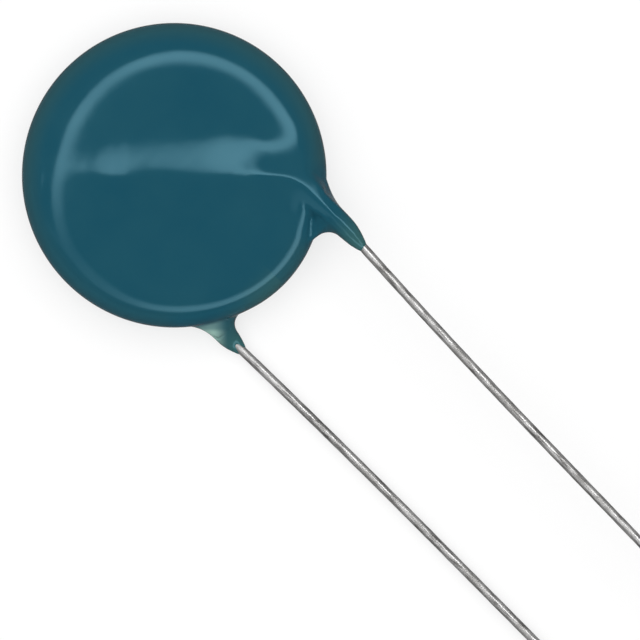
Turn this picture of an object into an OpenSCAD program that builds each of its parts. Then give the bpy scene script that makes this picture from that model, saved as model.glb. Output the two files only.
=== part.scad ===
// Ceramic disc capacitor with two straight wire leads, lying on its rear face.
// A ceramic disc carries a silver electrode on each face. A tinned wire crosses the middle of each
// electrode and is soldered to it, and the whole disc is dipped in a hard coating, which runs a little
// way down both wires.
// Millimetres. The origin is the centre of the rear face, +Z runs along the disc's axis to the front
// face, and the leads point along -Y. The modules below are drawn about the middle of the ceramic disc,
// and seated() raises them to the rear face.

/* [Ceramic disc] */
// Diameter of the ceramic disc
ceramic_d = 17.4; // [15:0.1:22]
// Thickness of the ceramic disc
ceramic_t = 2.4; // [1.8:0.1:3]
// Radius on the edges of the ceramic disc
ceramic_edge_r = 0.15; // [0.05:0.05:0.4]
// Thickness of each silver electrode
electrode_t = 0.05; // [0.03:0.01:0.1]
// Width of the bare band round each electrode
electrode_margin = 0.5; // [0.3:0.1:1]

/* [Coating] */
// Coating over the edge of the ceramic disc
rim_coat = 1.1; // [0.9:0.05:1.6]
// Coating over each electrode
face_coat = 0.6; // [0.45:0.05:0.9]
// Coating over the wires
wire_coat = 0.4; // [0.3:0.05:0.55]
// Distance from the edge at which each face starts to roll off
roll_w = 3.5; // [3:0.1:4.5]
// How far the face has dropped where the round edge takes over
roll_drop = 0.35; // [0.25:0.05:0.5]
// How far the coating runs down the front lead, past the lowest edge of the disc
front_tail_l = 2.35; // [1.9:0.05:4]
// How far the coating runs down the rear lead, past the lowest edge of the disc
rear_tail_l = 1.4; // [1.2:0.05:3]
// How much sooner the coating ends on the inward side of the rear lead
rear_tail_step = 0.6; // [0.2:0.05:0.8]
// Length over which each tail narrows to the wire
taper_l = 1.8; // [1.2:0.1:2.4]
// Radius of the web between the disc and the outer side of the front lead
front_outer_web_r = 5; // [2.5:0.1:6]
// Radius of the web between the disc and the inner side of the front lead
front_inner_web_r = 1.3; // [0.8:0.1:1.6]
// Radius of the web between the disc and the outer side of the rear lead
rear_outer_web_r = 3; // [2:0.1:5]
// Radius of the web between the disc and the inner side of the rear lead
rear_inner_web_r = 0.9; // [0.6:0.1:1.4]

/* [Leads] */
// Diameter of the tinned wire
wire_d = 0.6; // [0.5:0.05:0.8]
// Distance between the two leads where they cross the edge of the disc
lead_pitch = 10.32; // [8:0.02:11]
// How far the pair of leads sits to the right of the middle of the disc
lead_shift = 0.24; // [-0.5:0.02:0.5]
// Length of the leads past the lowest edge of the disc
lead_l = 32.2; // [24:0.1:40]
// Angle by which each wire turns towards the middle of the disc, to cross its electrode
cross_angle = 42; // [38:0.5:46]
// Radius of that turn, at the middle of the wire
turn_r = 1.5; // [1:0.1:2.5]
// Length of the straight stretch across the electrode
cross_l = 11; // [9:0.1:12]
// Distance from the middle of the disc at which the wire passes it
cross_off = 0.2; // [0:0.05:0.6]
// How far past the lowest edge of the disc each lead bends inwards
toe_gap = 0.4; // [0.2:0.05:0.8]
// Diameter of the slight swelling at that bend and at the end of the turn
toe_swell_d = 0.64; // [0.64:0.01:0.7]
// Angle by which the front lead leans inwards after its bend
front_toe = 3.4; // [2.5:0.1:4.5]
// Radius of the slow curve that brings the front lead back
front_bow_r = 450; // [400:10:900]
// Angle by which the rear lead leans inwards after its bend
rear_toe = 1.25; // [0.5:0.05:3]
// Radius of the slow curve that brings the rear lead back
rear_bow_r = 690; // [500:10:1500]
// Length of the slow curve in each lead
bow_l = 18; // [10:0.5:20]

/* [Solder] */
// Length of each solder mound along its wire
solder_l = 8; // [6:0.1:9]
// Width of each solder mound
solder_w = 2.4; // [1.8:0.1:2.8]
// Height of the solder over the wire
solder_over = 0.08; // [0.05:0.01:0.15]
// Thickness of the solder between the wire and its electrode
solder_film = 0.03; // [0.02:0.01:0.06]
// How far the solder reaches past the end of the wire
solder_lap = 0.8; // [0.6:0.05:1.1]

/* [Hidden] */

// Facets of a large round and of a wire
disc_fn = 144;
wire_fn = 48;

// Heights above the middle of the disc
seat_z = ceramic_t / 2 + electrode_t;
wire_r = wire_d / 2;
wire_z = seat_z + solder_film + wire_r;
face_z = seat_z + face_coat;

// The edge of the coating is a full round of radius edge_r about edge_x. A larger arc, tangent to it,
// rolls up to the flat face.
disc_r = ceramic_d / 2 + rim_coat;
edge_r = face_z - roll_drop;
edge_x = disc_r - edge_r;
roll_x = disc_r - roll_w;
roll_r = (pow(edge_x - roll_x, 2) / roll_drop + edge_r + face_z) / 2;
roll_z = face_z - roll_r;
touch_x = edge_x + (edge_x - roll_x) * edge_r / (roll_r - edge_r);

// Distances of the leads from the middle line. The rear lead stands on the other side of it.
front_x = lead_pitch / 2 + lead_shift;
rear_x = lead_pitch / 2 - lead_shift;
toe_y = disc_r + toe_gap;
tip_y = disc_r + lead_l;
// The straight stretch and the curve both stop this far inside the swelling between them
toe_stop = 0.04;

electrode_r = ceramic_d / 2 - electrode_margin;
solder_rise = solder_film + wire_d + solder_over;
barrel_r = (pow(solder_w / 2, 2) + pow(solder_rise, 2)) / (2 * solder_rise);

// Radius of the coating round a wire past the disc, and at its lip, which ends this far inside the
// wire's skin
lip_cut = 0.06;
sleeve_r = wire_r + wire_coat;
lip_r = wire_r - lip_cut;
// A ridge starts this far before the end of its wire and reaches its full height over ridge_rise. It
// starts at this share of its width.
ridge_lap = 1.5;
ridge_rise = 2.2;
ridge_start = 0.6;
// The skirts of a ridge end this far under the skin of the disc, and the webs this far inside its edge
skirt_dip = 0.12;
// Over this distance past the disc's edge a web climbs from the middle of the edge to the wire
web_rise = 1.4;
// Depth of the web under a wire at the disc's edge, and the distance over which it fades
web_depth = 1.05;
web_fade = 0.7;
// How round the crest of a ridge is, as a share of its half width, and how fast a tail narrows
crest_share = 0.12;
tail_power = 1.7;
// Points in a quarter of a section through a ridge, and sections along its stretch across the face, its
// turn, its web and its tail
quarter_n = 6;
cross_n = 10;
turn_n = 6;
web_n = 18;
tail_n = 9;

function smooth(t) = let (u = min(max(t, 0), 1)) u * u * (3 - 2 * u);
function mix(a, b, t) = a + (b - a) * t;

// Where a wire at x turns off its straight way, where its stretch across the electrode starts and where
// it ends, as distances down the lead from the middle of the disc
function turn_d(x) = ((x - turn_r) * cos(cross_angle) + turn_r - cross_off) / sin(cross_angle);
function cross_d(x) = turn_d(x) - turn_r * sin(cross_angle);
function end_d(x) = cross_d(x) - cross_l * cos(cross_angle);

// Distance from the middle line to the axis of the wire at x, at a distance d down the lead
function axis_x(x, d) =
    d >= turn_d(x) ? x
    : d >= cross_d(x) ? x - turn_r + sqrt(pow(turn_r, 2) - pow(turn_d(x) - d, 2))
    : x - turn_r * (1 - cos(cross_angle)) - (cross_d(x) - d) * tan(cross_angle);

// Height of the coating's skin at a distance r from the disc's axis
function skin_z(r) =
    r <= roll_x ? face_z
    : r <= touch_x ? roll_z + sqrt(pow(roll_r, 2) - pow(r - roll_x, 2))
    : r < disc_r ? sqrt(pow(edge_r, 2) - pow(r - edge_x, 2))
    : 0;

// Height of the edge of a ridge or web: just under the disc's skin, and past it rising to the wire
function skirt_z(x, d) =
    let (r = norm([x, d]))
    r < disc_r ? max(skin_z(r) - skirt_dip, 0) : wire_z * smooth((r - disc_r) / web_rise);

// Distance of the edge of a web from the middle line, at a distance d down the leads. The edge is an
// arc of radius w, which runs from the disc into the straight side of the tail at x. Side is 1 for the
// outer edge and -1 for the inner one. Over the disc the ridge keeps its width where the arc starts.
function web_x(x, w, side, d) =
    let (
        root_r = disc_r - skirt_dip,
        cx = x + side * w,
        cd = sqrt(pow(root_r + w, 2) - pow(cx, 2)),
        start = root_r / (root_r + w)
    )
    d >= cd ? x
    : d <= cd * start ? cx * start
    : cx - side * sqrt(pow(w, 2) - pow(cd - d, 2));

// Radius of a tail that ends at end
function tail_r(d, end) =
    let (t = (d - end + taper_l) / taper_l)
    t <= 0 ? sleeve_r : mix(sleeve_r, lip_r, pow(min(t, 1), tail_power));

// Height of a ridge at a share t of the way from its edge to its crest: straight flanks with a round crest
function tent(t) =
    let (c = crest_share)
    1 - (norm([1 - t, c]) - c) / (norm([1, c]) - c);

// A quarter of a section, from its edge to its top or bottom. It is a tent where round is 0 and an
// ellipse where round is 1.
function quarter(edge, tip, round) = [
    for (i = [0 : quarter_n - 1])
    let (
        t = i / quarter_n,
        near = 1 - pow(1 - t, 2),
        along = mix(near, 1 - cos(90 * t), round),
        rise = mix(tent(near), sin(90 * t), round)
    )
    [mix(edge.x, tip.x, along), mix(edge.y, tip.y, rise)]
];
function turned(list) = [for (i = [len(list) - 1 : -1 : 0]) list[i]];

// Where the ridge over a wire at x starts
function ridge_d(x) = end_d(x) - ridge_lap * cos(cross_angle);

// A section through the ridge, web and tail of a lead, at a distance d down it
function section(d, x, toe, outer_w, inner_w, end, step) =
    let (
        mid = axis_x(x, d) - max(d - toe_y, 0) * tan(toe),
        thin = sleeve_r - tail_r(d, end),
        grown = smooth((d - ridge_d(x)) / (ridge_rise * cos(cross_angle))),
        rim_y = sqrt(pow(disc_r, 2) - pow(x, 2)),
        slant = mix(1 / cos(cross_angle), 1, smooth((d - cross_d(x)) / (turn_d(x) - cross_d(x)))),
        width = slant * mix(ridge_start, 1, grown),
        outer_x = mid + width * (web_x(x + sleeve_r, outer_w, 1, d) - thin - x),
        inner_x = mid + width * (web_x(x - sleeve_r, inner_w, -1, d) + thin - x),
        outer = [outer_x, skirt_z(outer_x, d)],
        inner = [inner_x, skirt_z(inner_x, d)],
        top = [mid, mix(face_z - skirt_dip, wire_z + tail_r(d, end), grown)],
        drop = web_depth * exp((rim_y - d) / web_fade),
        bottom = [mid, wire_z - tail_r(d, end - step) - min(drop, web_depth)],
        round = smooth((d - rim_y) / (disc_r + toe_gap - rim_y)),
        a = quarter(outer, top, round),
        b = quarter(inner, top, round),
        c = quarter(inner, bottom, round),
        e = quarter(outer, bottom, round)
    )
    [
        for (p = concat(
            a, [top], turned([for (i = [1 : quarter_n - 1]) b[i]]), c,
            [bottom], turned([for (i = [1 : quarter_n - 1]) e[i]])
        )) [p.x, -d, p.y]
    ];

// Ridge, web and tail over a lead at x, as one skin through its sections
module sleeve(x, toe, outer_w, inner_w, tail_l, step) {
    end = disc_r + tail_l;
    stations = concat(
        [for (i = [0 : cross_n - 1]) mix(ridge_d(x), cross_d(x), i / cross_n)],
        [for (i = [0 : turn_n - 1]) mix(cross_d(x), turn_d(x), i / turn_n)],
        [for (i = [0 : web_n - 1]) mix(turn_d(x), toe_y, i / web_n)],
        [for (i = [0 : tail_n]) mix(toe_y, end, i / tail_n)]
    );
    rings = [for (d = stations) section(d, x, toe, outer_w, inner_w, end, step)];
    ring_n = len(rings[0]);
    last = len(rings) - 1;
    middles = [for (ring = [rings[0], rings[last]]) (ring[quarter_n] + ring[3 * quarter_n]) / 2];
    points = concat([for (ring = rings) each ring], middles);
    sides = [
        for (i = [0 : last - 1], j = [0 : ring_n - 1])
        let (
            a = i * ring_n + j,
            b = i * ring_n + (j + 1) % ring_n
        )
        each [[a, a + ring_n, b + ring_n], [a, b + ring_n, b]]
    ];
    caps = [
        for (j = [0 : ring_n - 1])
        let (
            near_mid = len(points) - 2,
            k = (j + 1) % ring_n
        )
        each [[near_mid, j, k], [near_mid + 1, last * ring_n + k, last * ring_n + j]]
    ];
    polyhedron(points = points, faces = concat(sides, caps), convexity = 4);
}

// Turns a shape from the front of the disc to the rear, with its leads still pointing along -Y
module to_rear() {
    rotate([0, 180, 0]) children();
}

// Raises a shape so that the rear face lies at the origin
module seated() {
    translate([0, 0, face_z]) children();
}

// Half of a section through the dipped disc: a flat face, a slow roll-off and a full round edge
module disc_profile() {
    translate([0, -face_z]) square([roll_x, 2 * face_z]);
    intersection() {
        translate([roll_x, roll_z]) circle(r = roll_r, $fn = 4 * disc_fn);
        translate([roll_x, -roll_z]) circle(r = roll_r, $fn = 4 * disc_fn);
        translate([roll_x, -face_z]) square([touch_x - roll_x, 2 * face_z]);
    }
    translate([edge_x, 0]) circle(r = edge_r, $fn = disc_fn);
}

// The ceramic disc, with small rounds on its edges
module ceramic_body() {
    r = ceramic_d / 2;
    h = ceramic_t / 2;
    rotate_extrude($fn = disc_fn)
        intersection() {
            union() {
                translate([0, -h]) square([r - ceramic_edge_r, 2 * h]);
                translate([0, ceramic_edge_r - h]) square([r, 2 * (h - ceramic_edge_r)]);
                for (z = [ceramic_edge_r - h, h - ceramic_edge_r])
                    translate([r - ceramic_edge_r, z]) circle(r = ceramic_edge_r, $fn = wire_fn);
            }
            translate([0, -h]) square([r, 2 * h]);
        }
}

module electrode() {
    translate([0, 0, ceramic_t / 2]) cylinder(r = electrode_r, h = electrode_t, $fn = disc_fn);
}

// A solder mound along the end of the wire at x: a round-ended barrel, cut off by the electrode
module solder_mound(x) {
    barrel_l = solder_l - solder_w;
    translate([x - turn_r, -turn_d(x), 0])
        rotate([0, 0, cross_angle])
            translate([turn_r, cross_l + solder_lap - solder_w / 2, 0])
                intersection() {
                    translate([0, 0, seat_z + solder_rise - barrel_r])
                        rotate([90, 0, 0]) solder_barrel(barrel_l);
                    translate([-solder_w, -solder_l, seat_z])
                        cube([2 * solder_w, solder_l + solder_w, 2 * solder_rise]);
                }
}

module solder_barrel(length) {
    rotate_extrude($fn = disc_fn)
        intersection() {
            union() {
                circle(r = barrel_r, $fn = disc_fn);
                square([barrel_r, length]);
                translate([0, length]) circle(r = barrel_r, $fn = disc_fn);
            }
            translate([0, -barrel_r]) square([barrel_r, length + 2 * barrel_r]);
        }
}

// A whole lead at x on the front face: a straight stretch across the electrode, a turn, a stretch over
// the edge of the disc, a small bend inwards, a slow curve back and a straight end
module lead(x, toe, bow_r) {
    seat_l = toe_y - toe_stop - turn_d(x);
    back = bow_l / bow_r * 180 / PI;
    lean = toe - back;
    bow_dx = toe_stop * sin(toe) + bow_r * (cos(lean) - cos(toe));
    bow_dy = toe_stop * cos(toe) + bow_r * (sin(toe) - sin(lean));
    translate([x - turn_r, -turn_d(x), wire_z]) {
        translate([turn_r, 0, 0])
            rotate([90, 0, 0]) cylinder(r = wire_r, h = seat_l, $fn = wire_fn);
        rotate_extrude(angle = cross_angle, $fn = disc_fn)
            translate([turn_r, 0]) circle(r = wire_r, $fn = wire_fn);
        rotate([0, 0, cross_angle])
            translate([turn_r, 0, 0]) {
                rotate([-90, 0, 0]) cylinder(r = wire_r, h = cross_l, $fn = wire_fn);
                sphere(d = toe_swell_d, $fn = wire_fn);
            }
    }
    translate([x, -toe_y, wire_z]) sphere(d = toe_swell_d, $fn = wire_fn);
    translate([x - bow_dx, -toe_y - bow_dy, wire_z])
        rotate([0, 0, -lean])
            rotate([90, 0, 0]) {
                cylinder(r = wire_r, h = (tip_y - toe_y - bow_dy) / cos(lean), $fn = wire_fn);
                translate([bow_r, 0, 0])
                    rotate([90, 0, 0])
                        mirror([1, 0, 0])
                            mirror([0, 1, 0])
                                rotate_extrude(angle = back, $fn = 20 * disc_fn)
                                    translate([bow_r, 0]) circle(r = wire_r, $fn = wire_fn);
            }
}

module coating() {
    color("#1d5466")
        seated()
            difference() {
                union() {
                    rotate_extrude($fn = disc_fn) disc_profile();
                    sleeve(front_x, front_toe, front_outer_web_r, front_inner_web_r, front_tail_l, 0);
                    to_rear()
                        sleeve(rear_x, rear_toe, rear_outer_web_r, rear_inner_web_r, rear_tail_l,
                            rear_tail_step);
                }
                ceramic_body();
                electrode();
                to_rear() electrode();
                solder_mound(front_x);
                to_rear() solder_mound(rear_x);
                lead(front_x, front_toe, front_bow_r);
                to_rear() lead(rear_x, rear_toe, rear_bow_r);
            }
}

module ceramic_disc() {
    color("#c9b79a") seated() ceramic_body();
}

module front_electrode() {
    color("#dcdcd6") seated() electrode();
}

module rear_electrode() {
    color("#dcdcd6") seated() to_rear() electrode();
}

module front_solder_joint() {
    color("#a8abad")
        seated()
            difference() {
                solder_mound(front_x);
                lead(front_x, front_toe, front_bow_r);
            }
}

module rear_solder_joint() {
    color("#a8abad")
        seated()
            to_rear()
                difference() {
                    solder_mound(rear_x);
                    lead(rear_x, rear_toe, rear_bow_r);
                }
}

module front_lead() {
    color("#c4c1ba") seated() lead(front_x, front_toe, front_bow_r);
}

module rear_lead() {
    color("#c4c1ba") seated() to_rear() lead(rear_x, rear_toe, rear_bow_r);
}

coating();
ceramic_disc();
front_electrode();
rear_electrode();
front_solder_joint();
rear_solder_joint();
front_lead();
rear_lead();
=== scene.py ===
# A dipped ceramic disc capacitor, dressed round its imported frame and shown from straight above
import math

import bpy
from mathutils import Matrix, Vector


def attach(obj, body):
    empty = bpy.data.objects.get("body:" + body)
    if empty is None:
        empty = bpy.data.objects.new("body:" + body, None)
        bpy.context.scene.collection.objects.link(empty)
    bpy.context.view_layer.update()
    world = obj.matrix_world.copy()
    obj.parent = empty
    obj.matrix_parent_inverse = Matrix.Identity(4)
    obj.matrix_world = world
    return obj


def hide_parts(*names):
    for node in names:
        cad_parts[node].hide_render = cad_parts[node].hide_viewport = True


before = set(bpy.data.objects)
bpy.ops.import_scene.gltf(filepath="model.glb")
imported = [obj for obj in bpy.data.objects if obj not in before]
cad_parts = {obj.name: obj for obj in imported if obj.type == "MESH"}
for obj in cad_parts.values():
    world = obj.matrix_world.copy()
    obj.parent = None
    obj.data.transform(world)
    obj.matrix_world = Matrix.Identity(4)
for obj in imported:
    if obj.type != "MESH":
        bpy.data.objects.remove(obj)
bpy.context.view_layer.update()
mm = 0.001
print("frame loaded")

# The pieces are modelled with one unit to the millimetre and shrunk once they are finished
coating = {
    "radius": 9.8,
    "middleZ": 1.85,  # height of the disc's middle plane
    "halfThickness": 1.8,
    "faceExponent": 8.0,  # how long each face stays flat
    "edgeExponent": 2.2,  # how full the rim is
    "rimShare": 0.999,  # of the radius, beyond which the skin falls no further
    "segments": 240,
    "profileSteps": 60,
    "centreRings": [2.0, 1.0],
    "weld": 1e-4,
    "capHeight": 0.5,  # above this, on either side of the middle plane, the skin belongs to a face
    "voxel": 0.1,
    "smoothShare": 0.5,
    "smoothing": 6,
    "tailSmoothing": 24,
    "sag": 0.17,
    "sagWidth": 6.5,  # on either side of the disc's middle line
    "sagLimitY": -10.2,
}

# Where one treatment of the skin gives way to another: its weight is 0 at the first value and 1 at the second
fades = {
    "ridgeRadius": (9.8, 8.2),
    "ridgeReach": (6, 3.6),  # distance from the wire
    "crestReach": (1.2, 0.6),
    "crestAlong": (4, 1),  # distance up the wire
    "settleRadius": (9.55, 9.2),
    "settleCrestReach": (0.75, 0.4),
    "settleCrestTop": (-6.4, -7.0),
    "settleCrestFoot": (-9.6, -8.9),
    "settleRise": (-0.03, -0.1),
    "tailY": (-8.0, -8.8),
    "tailReach": (2.6, 2.0),
    "softenY": (-7.6, -8.5),
    "softenReach": (2.8, 1.9),
    "sagY": (-5, -9.8),
}

# A wire's ridge rises from the end of the wire, crosses the face, turns and runs down to the tail
frontWire = {
    "side": 1,  # 1 on the front face, -1 on the rear
    "lead": 5.4,
    "axisZ": 3.43,
    "turnRadius": 3.2,
    "crossAngle": 42,
    "crossOff": 0.2,
    "exitY": -10.2,
    "tailEnd": (5.27, -12.1),
    "topStep": 0,  # how much sooner the coating ends on the side that faces the other wire's face
    # The tables are read by the distance up the wire from the turn, and down it where negative.
    # Height of the ridge's crest over the flat face:
    "rises": [
        (-4, 0.459), (0, 0.459), (0.97, 0.455), (1.72, 0.42), (2.26, 0.385), (3, 0.345), (4.3, 0.305),
        (6.6, 0.272), (8.5, 0.231), (9.5, 0.191), (10.3, 0.142), (11, 0.093), (11.6, 0.054), (12.4, 0.01),
        (13.2, -0.046), (14, -0.125), (15.5, -0.28),
    ],
    # How steeply its flanks fall:
    "slopes": [
        (-3.4, 0.75), (-2, 0.45), (-1.3, 0.34), (-0.6, 0.285), (0, 0.262), (0.5, 0.26), (0.97, 0.262),
        (1.72, 0.222), (2.26, 0.182), (3, 0.145), (4.3, 0.122), (6.6, 0.115), (8.5, 0.108), (9.7, 0.09),
        (11, 0.065), (12.5, 0.05), (15, 0.05),
    ],
    # How round the crest is, how far it lies off the wire (negative towards the leads), how soft the foot is:
    "crestRounds": [
        (-4, 0.14), (0, 0.14), (0.5, 0.17), (1, 0.25), (1.75, 0.42), (2.3, 0.46), (4.5, 0.5), (15, 0.5),
    ],
    "crestShifts": [(0, 0), (1.5, -0.03), (3, -0.18), (5, -0.45), (9, -0.4), (15, -0.3)],
    "footBlends": [
        (-4, 0.13), (-1, 0.18), (1, 0.2), (2.5, 0.17), (4.5, 0.13), (9, 0.12), (13, 0.04), (15, 0.03),
    ],
    # The tail: its radius at the root and at the end, the length over which it tapers, the radii of its webs
    "sleeve": 0.7,
    "lip": 0.27,
    "taper": 1.9,
    "outerWeb": 5.0,
    "innerWeb": 1.3,
}
rearWire = dict(
    frontWire, side=-1, lead=4.92, axisZ=0.27, tailEnd=(4.9, -11.3), topStep=0.75, taper=1.6,
    outerWeb=3.0, innerWeb=0.9,
)

tailLayers = {
    "shares": [0, 0.2, 0.4, 0.6, 0.8, 1],  # from the sleeve over the wire out to the web
    "firstD": 7.2,  # distance down the leads from the disc's middle
    "steps": 28,
    "vertices": 32,
    "toRim": (10.6, 8.4),  # distances down the leads between which the web thickens
    "webLean": 0.8,  # share of the way that the web climbs to the disc's middle plane
    "webHalf": 0.3,
    "webExtra": 0.3,
    "narrowing": 1.7,
    "rootInset": 0.1,
    "inward": 0.3,  # how far the middle of the tail and its webs lies from the wire
}


def deselectAll():
    bpy.ops.object.select_all(action="DESELECT")


def onlySelected(piece):
    deselectAll()
    piece.select_set(True)
    bpy.context.view_layer.objects.active = piece


def applyModifier(piece, kind, **settings):
    onlySelected(piece)
    modifier = piece.modifiers.new(kind.lower(), kind)
    for name, value in settings.items():
        setattr(modifier, name, value)
    bpy.ops.object.modifier_apply(modifier=modifier.name)


def smoothStep(low, high, value):
    t = min(max((value - low) / (high - low), 0), 1)
    return t * t * (3 - 2 * t)


def fade(name, value):
    return smoothStep(*fades[name], value)


def paint(piece, name, weightAt):
    # A vertex group whose weight is a function of the place
    group = piece.vertex_groups.new(name=name)
    for vertex in piece.data.vertices:
        weight = weightAt(vertex.co)
        if weight > 0:
            group.add([vertex.index], weight, "REPLACE")


def moveFace(piece, name, shifts, way):
    # Moves each vertex that has a shift above 0 that far, up for a way of 1 and down for -1
    most = max(shifts.values())
    group = piece.vertex_groups.new(name=name)
    for index, shift in shifts.items():
        if shift > 0:
            group.add([index], shift / most, "REPLACE")
    applyModifier(piece, "DISPLACE", direction="Z", mid_level=0, strength=most * way, vertex_group=name)


def addDisc():
    # A circle, drawn up and in ring by ring, then mirrored
    top, c = [], coating
    for i in range(c["profileSteps"]):
        a = math.pi / 2 * i / c["profileSteps"]
        top.append((
            c["radius"] * math.cos(a) ** (2 / c["faceExponent"]),
            c["halfThickness"] * math.sin(a) ** (2 / c["edgeExponent"]),
        ))
    top += [(r, c["halfThickness"]) for r in c["centreRings"]]
    deselectAll()
    bpy.ops.mesh.primitive_circle_add(vertices=c["segments"], radius=c["radius"], location=(0, 0, 0))
    disc = bpy.context.object
    bpy.ops.object.mode_set(mode="EDIT")
    bpy.ops.mesh.select_mode(type="EDGE")
    for (r0, z0), (r1, z1) in zip(top, top[1:]):
        bpy.ops.mesh.extrude_region_move(TRANSFORM_OT_translate={"value": (0, 0, z1 - z0)})
        bpy.ops.transform.resize(value=(r1 / r0, r1 / r0, 1), center_override=(0, 0, 0))
    bpy.ops.mesh.extrude_region_move(TRANSFORM_OT_translate={"value": (0, 0, 0)})
    bpy.ops.mesh.merge(type="CENTER")
    bpy.ops.object.mode_set(mode="OBJECT")
    applyModifier(disc, "MIRROR", use_axis=(False, False, True), merge_threshold=c["weld"])
    bpy.ops.object.mode_set(mode="EDIT")
    bpy.ops.mesh.select_all(action="SELECT")
    bpy.ops.mesh.normals_make_consistent(inside=False)
    bpy.ops.transform.translate(value=(0, 0, c["middleZ"]))
    bpy.ops.object.mode_set(mode="OBJECT")
    return disc


def wirePath(wire):
    # Middle of the turn, its far end and the direction across the face, all as on the front
    a, r = math.radians(wire["crossAngle"]), wire["turnRadius"]
    turnY = ((wire["lead"] - r) * math.cos(a) + r - wire["crossOff"]) / math.sin(a)
    middle = Vector((wire["lead"] - r, -turnY))
    return middle, middle + r * Vector((math.cos(a), math.sin(a))), Vector((-math.sin(a), math.cos(a)))


def alongWire(wire, place):
    # Distance of a place from the wire, and how far up the wire it lies, counted from the turn
    p = Vector((place[0] * wire["side"], place[1]))
    middle, start, way = wirePath(wire)
    across, down = (p - start).dot(way), (p - middle).y
    if across <= 0 <= down:
        distance = abs((p - middle).length - wire["turnRadius"])
    elif across <= 0:
        distance = abs(p.x - wire["lead"])
    else:
        distance = abs((p - start).cross(way) - readSmooth(wire["crestShifts"], across))
        if down < 0:
            distance = min(distance, abs(p.x - wire["lead"]))
    return distance, max(across, 0) + min(down, 0)


def faceHeight(r):
    c = coating
    share = min(r / c["radius"], c["rimShare"]) ** c["faceExponent"]
    return c["halfThickness"] * (1 - share) ** (1 / c["edgeExponent"])


def readSmooth(table, value):
    # A smooth curve through the table's points
    value = min(max(value, table[0][0]), table[-1][0])
    last = len(table) - 1
    i = next(k for k in range(last) if value <= table[k + 1][0])
    (a, p), (b, q) = table[i], table[i + 1]
    before, after = table[max(i - 1, 0)], table[min(i + 2, last)]
    m0, m1 = (q - before[1]) / (b - before[0]), (after[1] - p) / (after[0] - a)
    t, step = (value - a) / (b - a), b - a
    return (
        (2 * t ** 3 - 3 * t ** 2 + 1) * p + (t ** 3 - 2 * t ** 2 + t) * step * m0
        + (3 * t ** 2 - 2 * t ** 3) * q + (t ** 3 - t ** 2) * step * m1
    )


def readOff(table, value):
    for (a, p), (b, q) in zip(table, table[1:]):
        if value <= b:
            return p + (q - p) * (value - a) / (b - a)
    return table[-1][1]


def skinHeight(wire, x, y):
    # Height of the skin over the disc's middle plane: the face, or the ridge where that is higher
    r = math.hypot(x, y)
    face = faceHeight(r)
    distance, along = alongWire(wire, (x, y))
    slope = readSmooth(wire["slopes"], along)
    rounding = readSmooth(wire["crestRounds"], along)
    crest = coating["halfThickness"] + readSmooth(wire["rises"], along)
    gap = crest - slope * (math.sqrt(distance * distance + rounding * rounding) - rounding) - face
    blend = readSmooth(wire["footBlends"], along)
    near = fade("crestReach", distance) * fade("crestAlong", along)
    share = near + (1 - near) * fade("ridgeRadius", r) * fade("ridgeReach", distance)
    return face + share * (gap + math.sqrt(gap * gap + blend * blend)) / 2


def tailDistance(co):
    wire = frontWire if co.x > 0 else rearWire
    return abs(abs(co.x) - wire["lead"] + tailLayers["inward"])


def tailZone(co):
    # 1 where a tail grows out of the disc, 0 away from it
    return fade("tailY", co.y) * fade("tailReach", tailDistance(co))


def settleFaces(piece):
    # Brings both faces of the disc to their exact heights, up or down
    lifts = {}
    for vertex in piece.data.vertices:
        co = vertex.co
        hungY = co.y + coating["sag"] * sagWeight(co)
        keep = fade("settleRadius", math.hypot(co.x, hungY))
        side = 1 if co.z > coating["middleZ"] else -1
        wire = frontWire if side > 0 else rearWire
        if co.x * side > 0:
            onCrest = fade("settleCrestReach", abs(abs(co.x) - wire["lead"]))
            keep = max(keep, onCrest * fade("settleCrestFoot", co.y) * fade("settleCrestTop", co.y))
        if keep > 0 and abs(co.z - coating["middleZ"]) >= coating["capHeight"]:
            rise = skinHeight(wire, co.x, hungY) - side * (co.z - coating["middleZ"])
            lifts[vertex.index] = keep * (1 - tailZone(co) * fade("settleRise", rise)) * side * rise
    moveFace(piece, "raise", lifts, 1)
    moveFace(piece, "lower", {index: -lift for index, lift in lifts.items()}, -1)


def drawOut(name, stations, vertices):
    # A filled circle across the lead, drawn from station to station: (x, y, z, half width, half height)
    x, y, z, w, h = stations[0]
    deselectAll()
    bpy.ops.mesh.primitive_circle_add(
        vertices=vertices, radius=1, fill_type="NGON", location=(x, y, z), rotation=(math.pi / 2, 0, 0),
    )
    piece = bpy.context.object
    piece.name = name
    bpy.ops.object.transform_apply(location=True, rotation=True, scale=True)
    bpy.ops.object.mode_set(mode="EDIT")
    bpy.ops.mesh.select_mode(type="FACE")
    bpy.ops.transform.resize(value=(w, 1, h), center_override=(x, y, z))
    for x1, y1, z1, w1, h1 in stations[1:]:
        bpy.ops.mesh.extrude_region_move(TRANSFORM_OT_translate={"value": (x1 - x, y1 - y, z1 - z)})
        bpy.ops.transform.resize(value=(w1 / w, 1, h1 / h), center_override=(x1, y1, z1))
        x, y, z, w, h = x1, y1, z1, w1, h1
    bpy.ops.mesh.select_all(action="SELECT")
    bpy.ops.mesh.normals_make_consistent(inside=False)
    bpy.ops.object.mode_set(mode="OBJECT")
    return piece


def webEdge(x, radius, side, d):
    # Where the edge of a web stands at a distance d down the leads: an arc from the disc into the tail
    root = coating["radius"] - tailLayers["rootInset"]
    cx = x + side * radius
    cd = math.sqrt((root + radius) ** 2 - cx ** 2)
    start = root / (root + radius)
    if d >= cd:
        return x
    if d <= cd * start:
        return cx * start
    return cx - side * math.sqrt(radius ** 2 - (cd - d) ** 2)


def tailRadius(wire, d, end):
    t = min(max((d - end + wire["taper"]) / wire["taper"], 0), 1)
    return wire["sleeve"] + (wire["lip"] - wire["sleeve"]) * t ** tailLayers["narrowing"]


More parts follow.
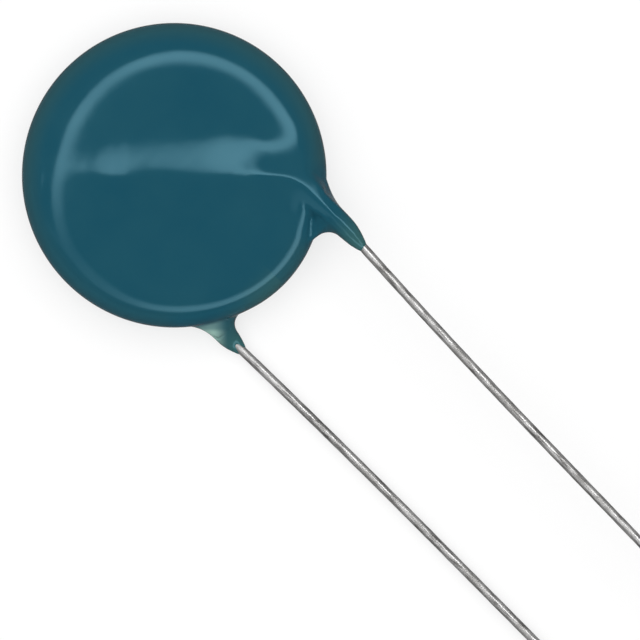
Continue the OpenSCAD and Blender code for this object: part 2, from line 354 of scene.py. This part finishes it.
def addTail(wire):
    # Layers from the round sleeve over the wire out to the flat web that joins it to the disc
    side, lead, layers = wire["side"], wire["lead"], tailLayers
    end, exitD = -wire["tailEnd"][1], -wire["exitY"]
    parts = []
    for share in layers["shares"]:
        stations = []
        for i in range(layers["steps"] + 1):
            d = layers["firstD"] + (end - layers["firstD"]) * i / layers["steps"]
            lean = max(d - exitD, 0) / (end - exitD)
            x = lead + (wire["tailEnd"][0] - lead) * lean
            radius = tailRadius(wire, d, end)
            upper = tailRadius(wire, d, end - wire["topStep"])
            thin = wire["sleeve"] - radius
            outer = webEdge(lead + wire["sleeve"], wire["outerWeb"], 1, d) - thin + x - lead
            inner = webEdge(lead - wire["sleeve"], wire["innerWeb"], -1, d) + thin + x - lead
            toRim = smoothStep(*layers["toRim"], d)
            edgeZ = wire["axisZ"] + (coating["middleZ"] - wire["axisZ"]) * layers["webLean"] * toRim
            flat = min(layers["webHalf"] + layers["webExtra"] * toRim, upper)
            midX = x + ((outer + inner) / 2 - x) * share
            midZ = wire["axisZ"] - (radius - upper) / 2
            stations.append((
                side * midX, -d, midZ + (edgeZ - midZ) * share,
                radius + ((outer - inner) / 2 - radius) * share,
                (radius + upper) / 2 * (1 - share) + flat * share,
            ))
        parts.append(drawOut("tailLayer", stations, layers["vertices"]))
    return parts


def sagWeight(co):
    # The coating has run down a little between the leads before it set
    across = math.cos(min(abs(co.x) / coating["sagWidth"], 1) * math.pi / 2) ** 2
    return across * fade("sagY", co.y) if co.y > coating["sagLimitY"] else 0


def raiseFirst(disc):
    # The ridges are there before the tails join them
    for name, way, wire in (("front", 1, frontWire), ("rear", -1, rearWire)):
        lifts = {}
        for vertex in disc.data.vertices:
            co = vertex.co
            if (co.z - coating["middleZ"]) * way > coating["capHeight"]:
                lifts[vertex.index] = skinHeight(wire, co.x, co.y) - faceHeight(co.xy.length)
        moveFace(disc, name, lifts, way)


def makeCoating():
    disc, c = addDisc(), coating
    raiseFirst(disc)
    tails = addTail(frontWire) + addTail(rearWire)
    onlySelected(disc)
    for part in tails:
        part.select_set(True)
    bpy.ops.object.join()
    disc.name = disc.data.name = "dippedCoating"
    disc.vertex_groups.clear()
    applyModifier(disc, "REMESH", mode="VOXEL", voxel_size=c["voxel"], use_smooth_shade=True)
    paint(disc, "sag", sagWeight)
    applyModifier(disc, "DISPLACE", direction="Y", mid_level=0, strength=-c["sag"], vertex_group="sag")
    share = c["smoothShare"]
    applyModifier(disc, "SMOOTH", factor=share, iterations=c["smoothing"])
    paint(disc, "soften", lambda co: fade("softenY", co.y) * fade("softenReach", tailDistance(co)))
    applyModifier(disc, "SMOOTH", factor=share, iterations=c["tailSmoothing"], vertex_group="soften")
    settleFaces(disc)
    disc.vertex_groups.clear()
    return disc


# Where the coating thins out, its colour changes: along the edge, down the tails and in the pale film beside
# the rear wire. Along the edge the tint is partly a painted reflection of the surroundings, full towards the
# picture's top. A pair runs from no weight to the full weight. Up, down, left and right are the picture's.
tints = {
    "edgeRadius": (8.3, 9.6),
    "edgeUp": (-7, 2),
    "edgeLeast": 0.5,
    "edgeTailY": (-5.5, -7),
    "edgeTailReach": (2.8, 1.8),
    "tailStart": 3.4,  # before the end of the tail
    "tailFull": 0.3,
    "filmCorner": (-4, -7),
    "filmRadius": (9.72, 9.95),
    "filmRight": (3.5, 2.35),
    "filmLeft": (1.0, 1.7),
    "filmDown": (9.82, 10.12),
    "filmLeast": 0.4,
}


def colourShares(co):
    t = tints
    r = math.hypot(co.x, co.y)
    right, up = (co.x - co.y) * math.sqrt(0.5), (co.x + co.y) * math.sqrt(0.5)
    wire = frontWire if co.x > 0 else rearWire
    end = -wire["tailEnd"][1]
    # Painted reflection: the rim's tint is partly the thinner coat's own colour and partly a reflection of
    # the surroundings, painted at full weight towards the picture's top and at half weight towards its foot
    edge = smoothStep(*t["edgeRadius"], r)
    edge *= t["edgeLeast"] + (1 - t["edgeLeast"]) * smoothStep(*t["edgeUp"], up)
    edge *= 1 - smoothStep(*t["edgeTailY"], co.y) * smoothStep(*t["edgeTailReach"], tailDistance(co))
    tail = smoothStep(end - t["tailStart"], end - t["tailFull"], -co.y)
    film = 0
    if co.x < t["filmCorner"][0] and co.y < t["filmCorner"][1]:
        film = t["filmLeast"] + (1 - t["filmLeast"]) * smoothStep(*t["filmDown"], -up)
        film *= smoothStep(*t["filmRight"], right) * smoothStep(*t["filmLeft"], right)
        film *= smoothStep(*t["filmRadius"], r)
    return edge, tail, film


def paintShares(piece):
    shares = piece.data.color_attributes.new("shares", "FLOAT_COLOR", "POINT")
    for vertex, share in zip(piece.data.vertices, shares.data):
        share.color = (*colourShares(vertex.co), 1)


def shrink(piece):
    onlySelected(piece)
    piece.scale = (mm, mm, mm)
    bpy.ops.object.transform_apply(location=True, rotation=True, scale=True)
    bpy.ops.object.shade_smooth()


coat = makeCoating()
paintShares(coat)
shrink(coat)
print("coating modelled:", len(coat.data.polygons), "faces")

# A drawn wire is never quite even: its radius wanders a little along its length
leadWire = {
    "radius": 0.3,
    "tipY": -42.0,
    "step": 0.3,
    "vertices": 28,
    "chamfer": 0.05,
    "meanShare": 0.985,  # of the radius
    # share of the radius, radians per mm, phase
    "uneven": [(0.011, 2.9, 0.4), (0.008, 6.1, 1.9), (0.006, 11.7, 3.1)],
    "innerTurn": 1.5,  # radius of the bend under the coating
    "innerLength": 9.0,
}
# Each lead leans towards the other, in degrees, and a slow bow of a wide radius takes that lean back
leadPaths = {
    "front": dict(frontWire, lean=3.4, bow=450.0, bowLength=18.0, turnRadius=leadWire["innerTurn"]),
    "rear": dict(rearWire, lean=1.25, bow=690.0, bowLength=18.0, turnRadius=leadWire["innerTurn"]),
}


def leadPlace(path, y):
    # How far the lead stands from the disc's middle line at this y, and its lean there
    middle, start, way = wirePath(path)
    if y > start.y:
        return start.x + way.x / way.y * (y - start.y), -way.x / way.y
    if y > middle.y:
        reach = math.sqrt(path["turnRadius"] ** 2 - (y - middle.y) ** 2)
        return middle.x + reach, (y - middle.y) / reach
    down = path["exitY"] - y
    if down <= 0:
        return path["lead"], 0
    lean, bowed = math.radians(path["lean"]), min(down, path["bowLength"])
    last = lean - path["bowLength"] / path["bow"]
    x = path["lead"] - lean * bowed + bowed ** 2 / (2 * path["bow"]) - last * max(down - bowed, 0)
    return x, lean - bowed / path["bow"]


def makeLead(name, path):
    c = leadWire
    toe = wirePath(path)[1] + wirePath(path)[2] * c["innerLength"]
    steps = round((toe.y - c["tipY"]) / c["step"])
    stations = []
    for i in range(steps + 1):
        y = c["tipY"] + (toe.y - c["tipY"]) * i / steps
        x, lean = leadPlace(path, y)
        waves = sum(share * math.sin(rate * y + phase) for share, rate, phase in c["uneven"])
        radius = c["radius"] * (c["meanShare"] + waves)
        stations.append((path["side"] * x, y, path["axisZ"], radius * math.hypot(1, lean), radius))
    x, y, z, w, h = stations[0]
    cut = 1 - c["chamfer"] / c["radius"]
    stations[0] = (x, y + c["chamfer"], z, w, h)
    lead = drawOut(name, [(x, y, z, w * cut, h * cut)] + stations, c["vertices"])
    lead.data.name = name
    shrink(lead)
    return lead


leads = {name + "_lead": makeLead(name + "TinnedLead", path) for name, path in leadPaths.items()}
print("leads modelled:", sum(len(lead.data.polygons) for lead in leads.values()), "faces")

noiseRoughness = 0.55


def newMaterial(name):
    material = bpy.data.materials.new(name)
    material.use_nodes = True
    nodes = material.node_tree.nodes
    return material, nodes, material.node_tree.links, nodes["Principled BSDF"]


def addNode(nodes, kind, **inputs):
    node = nodes.new("ShaderNode" + kind)
    for name, value in inputs.items():
        node.inputs[name.replace("_", " ")].default_value = value
    return node


def addNoise(nodes, links, scale, detail=2.0, stretch=(1, 1, 1), offset=0.0):
    # Noise on Object coordinates, its scale in waves per metre and its offset in metres
    place = nodes.new("ShaderNodeTexCoord")
    mapping = addNode(nodes, "Mapping", Scale=stretch, Location=(offset, offset, offset))
    noise = addNode(nodes, "TexNoise", Scale=scale, Detail=detail, Roughness=noiseRoughness)
    links.new(place.outputs["Object"], mapping.inputs["Vector"])
    links.new(mapping.outputs["Vector"], noise.inputs["Vector"])
    return noise.outputs["Fac"]


def addRange(nodes, links, value, low, high, toLow, toHigh):
    node = nodes.new("ShaderNodeMapRange")
    for name, number in (("From Min", low), ("From Max", high), ("To Min", toLow), ("To Max", toHigh)):
        node.inputs[name].default_value = number
    links.new(value, node.inputs["Value"])
    return node.outputs["Result"]


def addBlend(nodes, links, share, first, second):
    # first and second are colours or sockets
    node = nodes.new("ShaderNodeMix")
    node.data_type = "RGBA"
    links.new(share, node.inputs[0])
    for socket, value in ((node.inputs[6], first), (node.inputs[7], second)):
        if isinstance(value, tuple):
            socket.default_value = value
        else:
            links.new(value, socket)
    return node.outputs[2]


def addBump(nodes, links, shader, height, depth, strength=1.0):
    bump = addNode(nodes, "Bump", Distance=depth, Strength=strength)
    links.new(height, bump.inputs["Height"])
    links.new(bump.outputs["Normal"], shader.inputs["Normal"])


epoxy = {
    "deep": (0.0068, 0.0645, 0.0995, 1),  # the field drifts slowly between these two
    "light": (0.0096, 0.0705, 0.1035, 1),
    # the rim's colour: the thin coat's own, with a painted reflection of the surroundings in it
    "edge": (0.0195, 0.0735, 0.0905, 1),
    "tail": (0.033, 0.103, 0.106, 1),
    "film": (0.27, 0.43, 0.38, 1),
    "ior": 1.38,
    "sheenTint": (0.4, 0.83, 1.0, 1),
    "roughness": (0.07, 0.1),
    "driftScale": 260,
    "driftRange": (0.3, 0.7, 0, 1),  # noise from and to, share from and to
    "grainScale": 5200,
    "grainRange": (0.35, 0.65, 0.0, 0.08),
    "waveScale": 420,
    "waveRange": (0.3, 0.7),
    "waveOffset": 0.013,
    "waveDepth": 7e-6,
}


def coatingMaterial():
    material, nodes, links, shader = newMaterial("tealEpoxy")
    e = epoxy
    drift = addRange(nodes, links, addNoise(nodes, links, e["driftScale"], detail=3), *e["driftRange"])
    colour = addBlend(nodes, links, drift, e["deep"], e["light"])
    grain = addRange(nodes, links, addNoise(nodes, links, e["grainScale"]), *e["grainRange"])
    colour = addBlend(nodes, links, grain, colour, e["edge"])
    shares = nodes.new("ShaderNodeAttribute")
    shares.attribute_name = "shares"
    split = nodes.new("ShaderNodeSeparateColor")
    links.new(shares.outputs["Color"], split.inputs["Color"])
    # Red mixes in the rim's colour with its painted reflection, green the tail's and blue the pale film's
    for share, name in (("Red", "edge"), ("Green", "tail"), ("Blue", "film")):
        colour = addBlend(nodes, links, split.outputs[share], colour, e[name])
    links.new(colour, shader.inputs["Base Color"])
    wave = addNoise(nodes, links, e["waveScale"], offset=e["waveOffset"])
    roughness = addRange(nodes, links, wave, *e["waveRange"], *e["roughness"])
    links.new(roughness, shader.inputs["Roughness"])
    addBump(nodes, links, shader, wave, e["waveDepth"])
    shader.inputs["IOR"].default_value = e["ior"]
    shader.inputs["Specular Tint"].default_value = e["sheenTint"]
    return material


# Tin that was wiped while hot: streaks along the wire, duller blotches and fine scratches
tin = {
    "dark": (0.2, 0.195, 0.19, 1),
    "bright": (0.6, 0.595, 0.59, 1),
    "blotch": (0.34, 0.335, 0.325, 1),
    "metallic": 0.8,
    "detail": 3,
    "streakScale": 5200,
    "streakStretch": (1, 0.16, 1),
    "streakRange": (0.34, 0.56, 0, 1),
    "blotchScale": 900,
    "blotchStretch": (1, 0.6, 1),
    "blotchOffset": 0.02,
    "blotchRange": (0.5, 0.68, 0, 0.75),
    "dullRange": (0.35, 0.65),
    "roughness": (0.28, 0.5),
    "depth": 1.2e-5,
    "scratch": 0.6,
}


def tinMaterial():
    material, nodes, links, shader = newMaterial("tinnedWire")
    t = tin
    streak = addNoise(nodes, links, t["streakScale"], t["detail"], t["streakStretch"])
    blotch = addNoise(nodes, links, t["blotchScale"], t["detail"], t["blotchStretch"], t["blotchOffset"])
    streaked = addRange(nodes, links, streak, *t["streakRange"])
    colour = addBlend(nodes, links, streaked, t["dark"], t["bright"])
    blotched = addRange(nodes, links, blotch, *t["blotchRange"])
    colour = addBlend(nodes, links, blotched, colour, t["blotch"])
    links.new(colour, shader.inputs["Base Color"])
    roughness = addRange(nodes, links, blotch, *t["dullRange"], *t["roughness"])
    links.new(roughness, shader.inputs["Roughness"])
    shader.inputs["Metallic"].default_value = t["metallic"]
    addBump(nodes, links, shader, streak, t["depth"], t["scratch"])
    return material


# What lies under the coating. The grain is in waves per metre, the depth in metres
innerFinishes = {
    "firedCeramic": {
        "colours": ((0.56, 0.43, 0.3, 1), (0.66, 0.54, 0.4, 1)),
        "metallic": 0.0,
        "roughness": (0.55, 0.75),
        "grain": 3800,
        "depth": 8e-6,
        "nodes": ["ceramic_disc"],
    },
    "firedSilver": {
        "colours": ((0.62, 0.61, 0.58, 1), (0.78, 0.77, 0.74, 1)),
        "metallic": 0.85,
        "roughness": (0.38, 0.55),
        "grain": 6500,
        "depth": 4e-6,
        "nodes": ["front_electrode", "rear_electrode"],
    },
    "solderAlloy": {
        "colours": ((0.46, 0.46, 0.45, 1), (0.62, 0.62, 0.61, 1)),
        "metallic": 0.9,
        "roughness": (0.25, 0.45),
        "grain": 2200,
        "depth": 1.5e-5,
        "nodes": ["front_solder_joint", "rear_solder_joint"],
    },
}
innerNoise = {
    "broadness": 6,  # how much coarser the broad noise is than the grain
    "broadOffset": 0.04,
    "broadRange": (0.35, 0.65, 0, 1),
    "fineRange": (0.45, 0.8, 0, 0.5),
    "dullRange": (0.3, 0.7),
}


def innerMaterial(name, finish):
    material, nodes, links, shader = newMaterial(name)
    n, (colour, second) = innerNoise, finish["colours"]
    fine = addNoise(nodes, links, finish["grain"], detail=4)
    broad = addNoise(nodes, links, finish["grain"] / n["broadness"], offset=n["broadOffset"])
    mixed = addBlend(nodes, links, addRange(nodes, links, broad, *n["broadRange"]), colour, second)
    mixed = addBlend(nodes, links, addRange(nodes, links, fine, *n["fineRange"]), mixed, colour)
    links.new(mixed, shader.inputs["Base Color"])
    roughness = addRange(nodes, links, fine, *n["dullRange"], *finish["roughness"])
    links.new(roughness, shader.inputs["Roughness"])
    shader.inputs["Metallic"].default_value = finish["metallic"]
    addBump(nodes, links, shader, fine, finish["depth"])
    return material


def dress(piece, material):
    piece.data.materials.clear()
    piece.data.materials.append(material)


dress(coat, coatingMaterial())
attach(coat, "root")
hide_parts("coating")
wireFinish = tinMaterial()
for node, lead in leads.items():
    dress(lead, wireFinish)
    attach(lead, "root")
    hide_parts(node)
for name, finish in innerFinishes.items():
    material = innerMaterial(name, finish)
    for nodeName in finish["nodes"]:
        dress(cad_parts[nodeName], material)
print("materials set")

# A bent tube light, seen in the roll-off of the disc and in the flank of the ridge. Each row: direction in
# the picture, anticlockwise from the right, inner and outer radius on the disc at which it shows, brightness.
tubeLight = {
    "height": 300,
    "level": 43,
    "sections": 120,
    "rows": [
        (0, 8.2, 8.7, 0.13), (15, 7.9, 8.5, 0.14), (30, 7.65, 8.35, 0.148), (45, 7.55, 8.2, 0.14),
        (60, 7.42, 8.12, 0.14), (75, 7.3, 8.05, 0.142), (90, 7.15, 7.95, 0.155), (105, 7.08, 7.75, 0.151),
        (120, 6.92, 7.65, 0.135), (135, 6.85, 7.55, 0.13), (150, 6.78, 7.5, 0.14), (165, 6.74, 7.48, 0.128),
        (180, 6.98, 7.65, 0.122), (190, 7.3, 7.95, 0.078), (200, 7.55, 8.2, 0.042), (215, 7.85, 8.5, 0.021),
        (235, 8.05, 8.7, 0.028), (250, 8.3, 8.75, 0.048), (260, 8.4, 8.77, 0.08), (275, 8.46, 8.82, 0.1),
        (290, 8.57, 8.9, 0.105), (310, 8.65, 8.95, 0.115), (330, 8.75, 9.05, 0.12), (345, 8.6, 8.95, 0.125),
        (360, 8.2, 8.7, 0.13),
    ],
    # share of the width from the inner edge, glow
    "across": [(-0.35, 0), (-0.15, 0.22), (0, 0.5), (0.25, 0.9), (0.6, 1), (0.85, 0.9), (1, 0.45), (1.14, 0)],
}
imageRight = Vector((1, -1, 0)).normalized()
imageUp = Vector((1, 1, 0)).normalized()

camera = {
    "distance": 600,
    "span": 41.16,  # width of the picture at the disc
    "aim": Vector((0.045, -13.21, 0)),
    "turn": -45,
    "sensor": 36,
    "clip": (0.01, 5),
}


def mirrorPlace(direction, r):
    # Where a light has to hang to be seen in the disc's skin at this direction and radius
    a = math.radians(direction)
    way = imageRight * math.cos(a) + imageUp * math.sin(a)
    step = 0.01
    slope = (faceHeight(r - step) - faceHeight(r + step)) / (2 * step)
    seen = way * r
    lean = (seen - camera["aim"]) / camera["distance"]
    height = tubeLight["height"]
    return seen + height * (way * math.tan(2 * math.atan(slope)) + lean) + Vector((0, 0, height))


def addTubeLight():
    tables = [[(row[0], row[k]) for row in tubeLight["rows"]] for k in (1, 2, 3)]
    places, faces, glows = [], [], []
    across = tubeLight["across"]
    steps = tubeLight["sections"]
    for i in range(steps):
        direction = 360 * i / steps
        inner, outer, bright = (readOff(table, direction) for table in tables)
        for share, glow in across:
            places.append(mirrorPlace(direction, inner + (outer - inner) * share) * mm)
            glows.append(glow * bright)
        for j in range(len(across) - 1):
            a, b = i * len(across) + j, (i + 1) % steps * len(across) + j
            faces.append((a, a + 1, b + 1, b))
    mesh = bpy.data.meshes.new("tubeLight")
    mesh.from_pydata(places, [], faces)
    tube = bpy.data.objects.new("tubeLight", mesh)
    bpy.context.scene.collection.objects.link(tube)
    for value, glow in zip(mesh.color_attributes.new("glow", "FLOAT_COLOR", "POINT").data, glows):
        value.color = (glow, glow, glow, 1)
    material, nodes, links, shader = newMaterial("tubeGlow")
    nodes.remove(shader)
    level = nodes.new("ShaderNodeAttribute")
    level.attribute_name = "glow"
    emission = nodes.new("ShaderNodeEmission")
    emission.inputs["Strength"].default_value = tubeLight["level"]
    links.new(level.outputs["Color"], emission.inputs["Color"])
    links.new(emission.outputs["Emission"], nodes["Material Output"].inputs["Surface"])
    mesh.materials.append(material)
    tube.visible_camera = False
    tube.visible_diffuse = False


# The lights and the floor are in metres and watts
studio = {
    "fillHeight": 0.7,
    "fillSize": 1.6,
    "fillPower": 13.0,
    "floorSize": 3,
    "floorHeight": -0.00043,
    "floorColour": (0.9, 0.9, 0.9, 1),
    "floorRoughness": 0.9,
    "floorGlow": 0.7,
    "worldStrength": 0.2,
}


def addFill():
    # A wide overhead softbox that only lights the dull part of each finish
    data = bpy.data.lights.new("fillAbove", "AREA")
    data.shape = "DISK"
    data.size = studio["fillSize"]
    data.energy = studio["fillPower"]
    light = bpy.data.objects.new("fillAbove", data)
    light.location = (0, 0, studio["fillHeight"])
    light.visible_glossy = False
    bpy.context.scene.collection.objects.link(light)


def addFloor():
    deselectAll()
    bpy.ops.mesh.primitive_plane_add(size=studio["floorSize"], location=(0, 0, studio["floorHeight"]))
    floor = bpy.context.object
    floor.name = "paleFloor"
    material, nodes, links, shader = newMaterial("palePaper")
    shader.inputs["Base Color"].default_value = studio["floorColour"]
    shader.inputs["Roughness"].default_value = studio["floorRoughness"]
    shader.inputs["Specular IOR Level"].default_value = 0
    # Seen straight, the paper is nearly white of itself, and keeps a faint shadow
    seen = nodes.new("ShaderNodeLightPath").outputs["Is Camera Ray"]
    glow = addNode(nodes, "Emission", Strength=1.0)
    mix = nodes.new("ShaderNodeMixShader")
    links.new(addRange(nodes, links, seen, 0, 1, 0, studio["floorGlow"]), mix.inputs["Fac"])
    links.new(shader.outputs["BSDF"], mix.inputs[1])
    links.new(glow.outputs["Emission"], mix.inputs[2])
    links.new(mix.outputs["Shader"], nodes["Material Output"].inputs["Surface"])
    floor.data.materials.append(material)
    floor.visible_glossy = False


def addWorld():
    world = bpy.data.worlds.new("studio")
    bpy.context.scene.world = world
    world.use_nodes = True
    background = world.node_tree.nodes["Background"]
    background.inputs["Color"].default_value = (1, 1, 1, 1)
    background.inputs["Strength"].default_value = studio["worldStrength"]


def addCamera():
    distance, span = camera["distance"], camera["span"]
    data = bpy.data.cameras.new("camera")
    data.sensor_width = camera["sensor"]
    data.lens = data.sensor_width * distance / span
    data.clip_start, data.clip_end = camera["clip"]
    view = bpy.data.objects.new("camera", data)
    view.location = (camera["aim"] + Vector((0, 0, distance + coating["middleZ"]))) * mm
    view.rotation_euler = (0, 0, math.radians(camera["turn"]))
    bpy.context.scene.collection.objects.link(view)
    bpy.context.scene.camera = view


addCamera()
addTubeLight()
addFill()
addFloor()
addWorld()
bpy.context.scene.view_settings.view_transform = "Standard"
print("camera and lights set")
